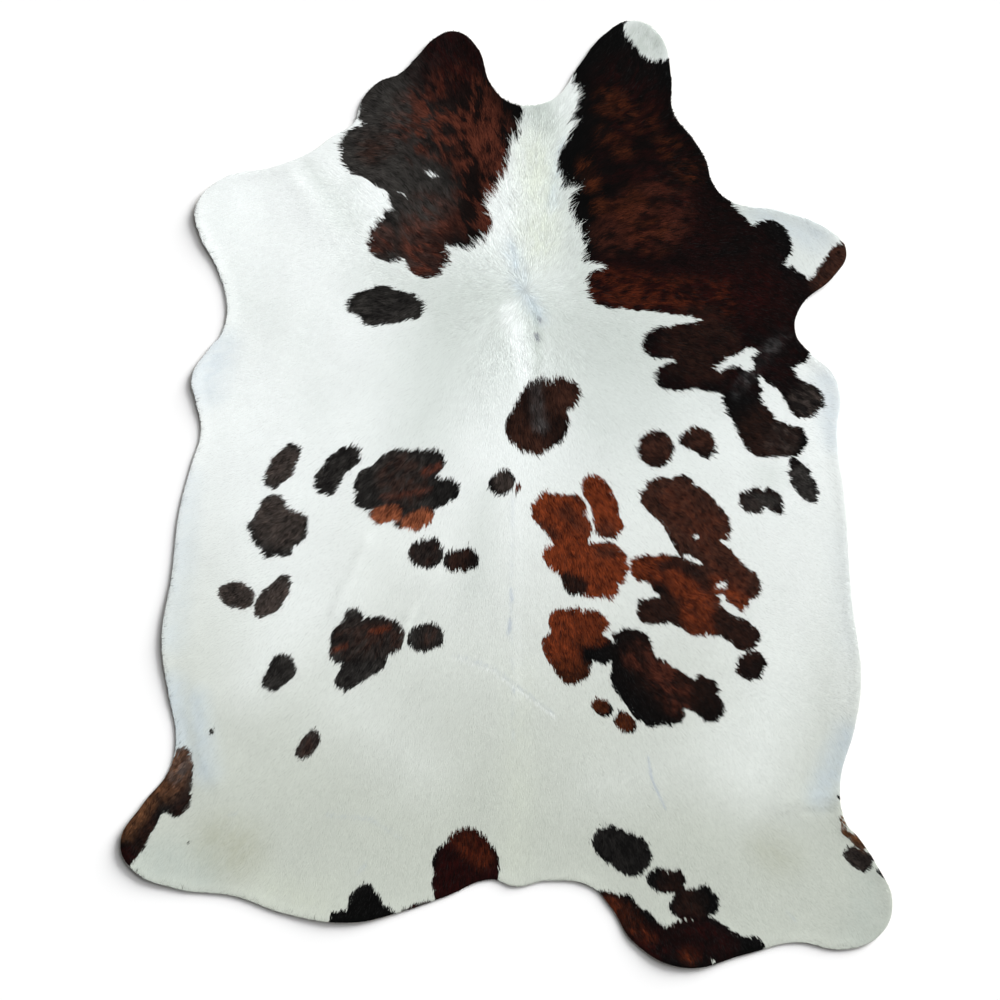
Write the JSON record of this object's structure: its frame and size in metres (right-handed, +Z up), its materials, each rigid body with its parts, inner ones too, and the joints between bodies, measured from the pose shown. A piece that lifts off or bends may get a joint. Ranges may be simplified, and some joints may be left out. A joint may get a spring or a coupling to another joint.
{
  "type": "cowhide rug",
  "caption": "Flat floor rug of one whole hair-on cowhide, cut to its natural outline, with dark patches on a white coat.",
  "frame": {"origin": "on the floor, under the middle of the hide's bounding box", "axes": "+Z up, out of the hair side; +Y along the spine towards the neck; +X to the right as seen from above"},
  "size_m": [1.7918, 2.1999, 0.0156],
  "materials": {
    "hair_on_hide": "short white coat with near-black and red-brown patches; pale suede below"
  },
  "bodies": {
    "root": {"hide": "hair_on_hide"}
  },
  "joints": []
}
